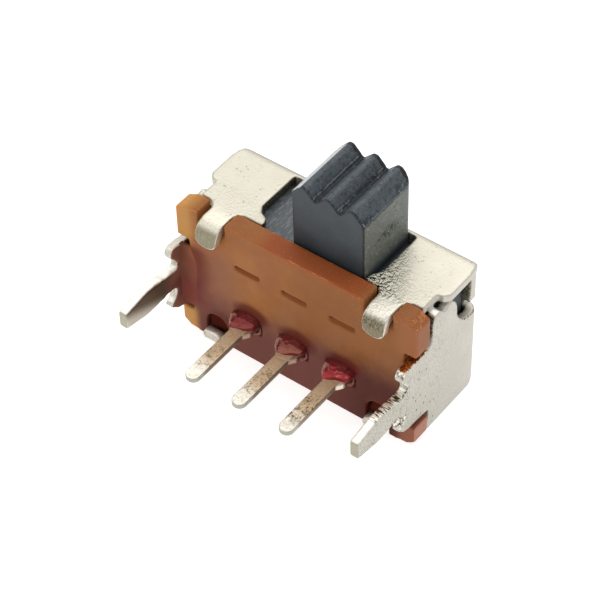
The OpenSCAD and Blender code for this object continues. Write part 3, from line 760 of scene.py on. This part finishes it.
contact_metal = inner_metal("sprung_bronze", paint(214, 176, 122), paint(140, 104, 66), (6, 1, 1))
spring_metal = inner_metal("spring_wire", paint(186, 186, 184), paint(112, 108, 102), (1, 1, 1))
ball_metal = inner_metal("ball_steel", paint(206, 206, 208), paint(150, 148, 146), (1, 1, 1))

# %% [markdown]
# ## Worn edges on the solids
#
# No stamped or moulded edge is perfectly sharp, and the thin highlight along it is what makes a
# small part look real. A Bevel modifier rounds a plain box well, but where many cuts meet it
# leaves spikes. So the frame, board and slider get a new skin of small even squares, which is
# then smoothed a little: flat faces stay flat and every edge and inner corner rounds off by
# itself. The short straight terminals keep their faces and take a plain bevel.

# %% Give a solid a new skin
SHARP = radians(32)


def merged_copy(node, name):
    """A copy of a node's mesh, its doubled corners merged and each flat face one face again."""
    shape = bmesh.new()
    shape.from_mesh(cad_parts[node].data)
    bmesh.ops.remove_doubles(shape, verts=shape.verts[:], dist=0.002 * MM)
    bmesh.ops.dissolve_limit(
        shape, angle_limit=radians(1.5), verts=shape.verts[:], edges=shape.edges[:],
    )
    for face in shape.faces:
        face.smooth = True
    for edge in shape.edges:
        edge.smooth = edge.calc_face_angle(0) < SHARP
    mesh = bpy.data.meshes.new(name)
    shape.to_mesh(mesh)
    shape.free()
    if "custom_normal" in mesh.attributes:
        mesh.attributes.remove(mesh.attributes["custom_normal"])
    return mesh


def stand_in(node, name, body, finish):
    """A piece that stands for a node, with its finish and body, not yet worn."""
    piece = bpy.data.objects.new(name, merged_copy(node, name))
    bpy.context.scene.collection.objects.link(piece)
    piece.data.materials.clear()
    piece.data.materials.append(finish)
    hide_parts(node)
    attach(piece, body)
    return piece


def worn_solid(node, name, body, finish, square, rubs):
    """A stand-in with a new skin of squares about square metres wide, smoothed rubs times."""
    piece = stand_in(node, name, body, finish)
    skin = piece.modifiers.new("even_skin", "REMESH")
    skin.mode, skin.voxel_size, skin.use_smooth_shade = "VOXEL", square, True
    wear = piece.modifiers.new("worn_edges", "SMOOTH")
    wear.factor, wear.iterations = 0.5, rubs
    print(name, "stands for", node, "in squares of", round(square / MM, 3), "mm")
    return piece


def bevelled_solid(node, name, body, finish, width):
    """A stand-in whose every sharp edge is rounded to width metres."""
    piece = stand_in(node, name, body, finish)
    bevel = piece.modifiers.new("broken_edges", "BEVEL")
    bevel.width, bevel.segments, bevel.limit_method, bevel.angle_limit = width, 3, "ANGLE", SHARP
    bevel.use_clamp_overlap, bevel.harden_normals = True, True
    print(name, "stands for", node, "bevelled by", round(width / MM, 3), "mm")
    return piece


# %% Wear the frame, board, terminals and slider
worn_solid("frame", "folded_frame", "housing", tin, 0.072 * MM, 4)
worn_solid("terminal_board", "punched_board", "housing", laminate, 0.072 * MM, 5)
worn_solid("slider", "moulded_slider", "slide", plastic, 0.07 * MM, 3)
for side in ("left", "centre", "right"):
    bevelled_solid(
        f"terminal_{side}", f"flat_terminal_{side}", "housing", plated, 0.05 * MM,
    )

# %% Finish the inner nodes where they are
inner_finishes = {
    "moving_contact": contact_metal, "detent_spring": spring_metal, "detent_ball": ball_metal,
}
for node, finish in inner_finishes.items():
    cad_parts[node].data.materials.clear()
    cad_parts[node].data.materials.append(finish)
    print(node, "is finished with", finish.name)

# %% [markdown]
# ## Lumps of sealing resin
#
# Lacquer was dabbed over each terminal's root and set there in soft facets, with a splinter on the
# left that is painted pale as a reflection, a drip beside it and a bead round the mouth below. A
# faceted lump could be sculpted, but it is easier to say which planes bound it: along each
# direction the surface is where the nearest plane is met, and a soft minimum rounds the creases
# between them.

# %% Faces of a closed tube, and directions on a ball
def tube_faces(rows, around):
    """Faces of a tube whose points come row by row, and then the two that close its ends.

    Points k and k + 1 of row r and the same two of row r + 1 make a square. Each end is a fan of
    triangles from its closing point to the row beside it.
    """
    here = np.arange(rows - 1)[:, None] * around + np.arange(around)
    beside = np.arange(rows - 1)[:, None] * around + np.roll(np.arange(around), -1)
    quads = np.stack([here, beside, beside + around, here + around], -1).reshape(-1, 4)
    first, last = np.arange(around), (rows - 1) * around + np.arange(around)
    start, end = np.full(around, rows * around), np.full(around, rows * around + 1)
    fans = np.vstack([
        np.stack([np.roll(first, -1), first, start], -1),
        np.stack([last, np.roll(last, -1), end], -1),
    ])
    return quads, fans


def ball(rings=44, around=72):
    """Directions (sin t cos p, -cos t, sin t sin p) for t pole to pole and p around, and faces."""
    t = np.linspace(0, np.pi, rings + 1)[1:-1, None]
    p = np.linspace(0, 2 * np.pi, around, endpoint=False)[None, :]
    d = np.stack([np.sin(t) * np.cos(p), -np.cos(t) + 0 * p, np.sin(t) * np.sin(p)], -1)
    d = np.vstack([d.reshape(-1, 3), [[0, -1, 0], [0, 1, 0]]])
    return d, *tube_faces(rings - 1, around)


def swell(d, seed):
    """A slight unevenness, 1 + 0.07 sin(3 d.a + s) + 0.05 sin(5 d.b + 2 s) for slanted a and b."""
    return (
        1 + 0.07 * np.sin(3 * d @ [1.3, 0.4, 0.9] + seed)
        + 0.05 * np.sin(5 * d @ [-0.6, 0.5, 1.2] + 2 * seed)
    )


def drop(centre, half, seed):
    """An ellipsoid with these half sizes, times the swell."""
    d, quads, fans = ball()
    return np.array(centre) + d * swell(d, seed)[:, None] * np.array(half), quads, fans


print("a ball of", len(ball()[0]), "directions has", len(ball()[1]), "squares")

# %% Lumps bounded by planes
def stone(centre, planes, seed, crisp=9):
    """A lump bounded by planes, each a normal n and its distance h from the centre in millimetres.

    Along direction d a plane is met at h / n.d, so the soft minimum over the planes is the radius:
    (sum of (max(n.d, 0) / h) ** crisp) ** (-1 / crisp), times the swell.
    """
    d, quads, fans = ball()
    normals = np.array([n for n, h in planes], float)
    normals /= np.linalg.norm(normals, axis=1, keepdims=True)
    met = np.maximum(d @ normals.T, 0) / (np.array([h for n, h in planes]) * MM)
    radius = (met ** crisp).sum(1) ** (-1 / crisp) * swell(d, seed)
    return np.array(centre) + d * radius[:, None], quads, fans


cube_sides = [(side, 1.0) for side in (*np.eye(3), *-np.eye(3))]
cube_width = np.ptp(stone((0, 0, 0), cube_sides, 0)[0][:, 0]) / MM
print("six planes 1 mm away bound a lump", round(float(cube_width), 2), "mm wide")

# %% A rope of resin, and pieces made of several shapes
def bead(centre, half, thick, seed, steps=60, around=16):
    """A rope of resin along the lower half of a squared oval, its ends drawn to points.

    At angle a the path is (half.x C, -half.z S), where C and S are cos a and sin a with their size
    raised to the power 0.55 and their sign kept. The rope's radius is thick times sqrt(sin a)
    times 1 + 0.2 sin(5 a + seed).
    """
    a = np.linspace(0.0, np.pi, steps)[:, None]
    squared = lambda v: np.sign(v) * np.abs(v) ** 0.55
    path = np.stack([half[0] * squared(np.cos(a)), 0 * a, -half[1] * squared(np.sin(a))], -1)
    outward = np.stack([np.cos(a), 0 * a, -np.sin(a)], -1)
    p = np.linspace(0, 2 * np.pi, around, endpoint=False)[None, :, None]
    r = (
        thick * np.sqrt(np.maximum(np.sin(a), 0.02))[..., None]
        * (1 + 0.2 * np.sin(5 * a + seed))[..., None]
    )
    points = path + r * (np.cos(p) * outward + np.sin(p) * np.array([0, -1, 0]))
    points = np.vstack([points.reshape(-1, 3), path[0], path[-1]]) + np.array(centre)
    quads, fans = tube_faces(steps, around)
    return points, np.roll(quads[:, ::-1], 1, axis=1), np.roll(fans[:, ::-1], -1, axis=1)


def make_piece(name, shapes, finish, body):
    """One smooth object from several (points, quads, triangles) shapes, on its body."""
    points, quads, fans, start = [], [], [], 0
    for p, q, f in shapes:
        points.append(p)
        quads.append(q + start)
        fans.append(f + start)
        start += len(p)
    points, quads, fans = np.vstack(points), np.vstack(quads), np.vstack(fans)
    mesh = bpy.data.meshes.new(name)
    mesh.from_pydata(points.tolist(), [], quads.tolist() + fans.tolist())
    mesh.polygons.foreach_set("use_smooth", np.ones(len(mesh.polygons), bool))
    mesh.materials.append(finish)
    piece = bpy.data.objects.new(name, mesh)
    bpy.context.scene.collection.objects.link(piece)
    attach(piece, body)
    print(name, "has", len(points), "points,", len(mesh.polygons), "faces")
    return piece


# %% Seal each terminal
for number, side in enumerate(("left", "centre", "right")):
    low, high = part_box(f"resin_seal_{side}")
    x, face, foot = (low.x + high.x) / 2, high.y, low.z
    facets = [
        ((-0.05, -0.10, 0.99), 0.13), ((0, 0, -1), 0.12), ((0, 1, 0), 0.45),
        ((0.40, -0.92, 0.12), 0.31), ((1, -0.1, 0), 0.62), ((-0.86, -0.50, 0.3), 0.52),
        ((0.1, -0.6, 0.8), 0.20),
    ]
    cap = stone((x - 0.02 * MM, face - 0.40 * MM, foot + 0.05 * MM), facets, number * 2.1, 16)
    slopes = [
        ((0, 0, -1), 0.2), ((0, 1, 0), 0.3), ((0.25, -0.85, 0.45), 0.20 + 0.05 * number),
        ((-0.7, -0.6, 0.4), 0.36), ((0.3, -0.1, 0.95), 0.32), ((1, -0.2, 0.2), 0.50),
        ((-0.3, -0.2, 0.9), 0.24),
    ]
    mound = stone(
        (x - (0.05 + 0.05 * number) * MM, face - 0.10 * MM, foot + 0.12 * MM), slopes, 1 + number,
        14,
    )
    shard_sides = [
        ((-1, -0.4, 0.1), 0.07), ((1, 0.4, -0.1), 0.07), ((0, 0, -1), 0.3),
        ((0.3, -0.3, 0.9), 0.16), ((0.3, -1, 0), 0.16), ((-0.3, 1, 0.2), 0.16),
    ]
    shard = stone((x - 0.56 * MM, face - 0.52 * MM, foot + 0.12 * MM), shard_sides, number, 12)
    walls = [
        ((0, 0, -1), 0.32), ((0, 0, 1), 0.50), ((0, 1, 0), 0.1), ((0, -1, 0), 0.1),
        ((1, 0, 0), 0.70), ((-1, 0, 0), 0.70),
    ]
    plug = stone((x, face + 0.18 * MM, foot - 0.38 * MM), walls, 0.5)
    drip = drop(
        (x - 0.66 * MM, face - 0.22 * MM, foot - 0.20 * MM), (0.09 * MM, 0.12 * MM, 0.40 * MM),
        2 + number,
    )
    rim = bead((x, face, foot - 0.12 * MM), (0.62 * MM, 0.58 * MM), 0.085 * MM, number * 1.7)
    seal = make_piece(
        f"lacquer_seal_{side}", [cap, mound, shard, plug, drip, rim], lacquer, "housing",
    )
    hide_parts(f"resin_seal_{side}")

# %% [markdown]
# ## Varnish in the corner, and painted shade in the notches
#
# Thin brown varnish has also run down the corner between the board and the left end wall. The run
# is a hollow strip, an arc swept up the corner and pinched at both ends. At the back of the two
# notches over the frame's base tabs sit dark drops, ellipsoids half sunk in the board, that stand
# for the shade in the notches.

# %% Run varnish into the corner, and set dark drops in the notches for their shade
def fillet(corner, lean, wide, deep, low, high, seed, sink, steps=60, around=16):
    """A hollow strip up an inside corner whose faces look along +x and -y.

    At height z = low + u (high - low) its section is the arc (wide s (0.98 - cos a),
    deep s (sin a - 0.98)) from the corner, from a = 0 at the wall to a = pi / 2 at the board,
    closed behind at the depth sink. The wall leans, so x also grows by lean times the distance in
    y from the corner. s is sin(pi u) ** 0.3 times 1 + 0.1 sin(9 u + seed).
    """
    u = np.linspace(0.01, 0.99, steps)[:, None]
    s = np.sin(np.pi * u) ** 0.3 * (1 + 0.1 * np.sin(9 * u + seed))
    a = np.linspace(0, np.pi / 2, around)[None, :]
    behind = 0 * s - sink
    x = np.hstack([wide * s * (0.98 - np.cos(a)), 0.98 * wide * s, behind, behind]) + corner[0]
    y = np.hstack([deep * s * (np.sin(a) - 0.98), -behind, -behind, -0.98 * deep * s]) + corner[1]
    x = x + lean * (y - corner[1])
    points = np.stack([x, y, low + u * (high - low) + 0 * x], -1).reshape(-1, 3)
    n = around + 3
    points = np.vstack([points, points[:n].mean(0), points[-n:].mean(0)])
    return points, *tube_faces(steps, n)


run = fillet(
    corner=(board_low.x + 0.26 * MM, board_low.y), lean=0.077, wide=0.95 * MM, deep=0.36 * MM,
    low=1.40 * MM, high=5.18 * MM, seed=1.0, sink=0.09 * MM,
)
# dark drops at the back of the notches over the base tabs, standing for the shade there
notch_drop_size = (0.60 * MM, 0.32 * MM, 0.68 * MM)
notch_shade_drops = [
    drop((side * BASE_TAB_X * MM, board_low.y + 0.36 * MM, 0.98 * MM), notch_drop_size, side)
    for side in (-1, 1)
]
make_piece("varnish_run_and_notch_shade", [run, *notch_shade_drops], varnish, "housing")

# %% [markdown]
# ## Floor and light
#
# A small part shows best in a white tent: a pale floor that reaches out of sight and light from
# everywhere, a little stronger from above. The floor glows faintly so that the shadow on it stays
# pale.

# %% Lay the floor
REACH = 600 * MM
FLOOR_GLOW = 0.72
floor_mesh = bpy.data.meshes.new("floor")
corners = [(-REACH, -REACH, 0), (REACH, -REACH, 0), (REACH, REACH, 0), (-REACH, REACH, 0)]
floor_mesh.from_pydata(corners, [], [(0, 1, 2, 3)])
floor = bpy.data.objects.new("floor", floor_mesh)
bpy.context.scene.collection.objects.link(floor)
floor_finish = start_finish(
    "pale_floor", Base_Color=(0.6, 0.6, 0.6, 1), Roughness=0.9,
    Emission_Color=(1, 1, 1, 1), Emission_Strength=FLOOR_GLOW,
)[0]
floor_mesh.materials.append(floor_finish)
floor.location.z = -0.02 * MM
print("the floor reaches", REACH, "m and glows with", FLOOR_GLOW)

# %% Light the tent
TENT_LIGHT = 0.60
world = bpy.data.worlds.new("tent")
bpy.context.scene.world = world
world.use_nodes = True
tent = world.node_tree.nodes["Background"]
tent.inputs["Color"].default_value = (1, 1, 1, 1)
tent.inputs["Strength"].default_value = TENT_LIGHT


def softbox(name, place, target, size, watts):
    """A square area light at place, turned to face target."""
    lamp = bpy.data.objects.new(name, bpy.data.lights.new(name, "AREA"))
    lamp.data.size, lamp.data.energy = size, watts
    lamp.location = place
    lamp.rotation_mode = "QUATERNION"
    lamp.rotation_quaternion = (Vector(target) - Vector(place)).to_track_quat("-Z", "Y")
    bpy.context.scene.collection.objects.link(lamp)
    return lamp


softbox("overhead", (-0.10, 0.14, 0.36), (0, 0, 0), 0.50, 1.05)
softbox("front_left", (-0.19, -0.32, 0.25), (0, 0, 0), 0.20, 0.25)
bpy.context.scene.view_settings.view_transform = "Standard"
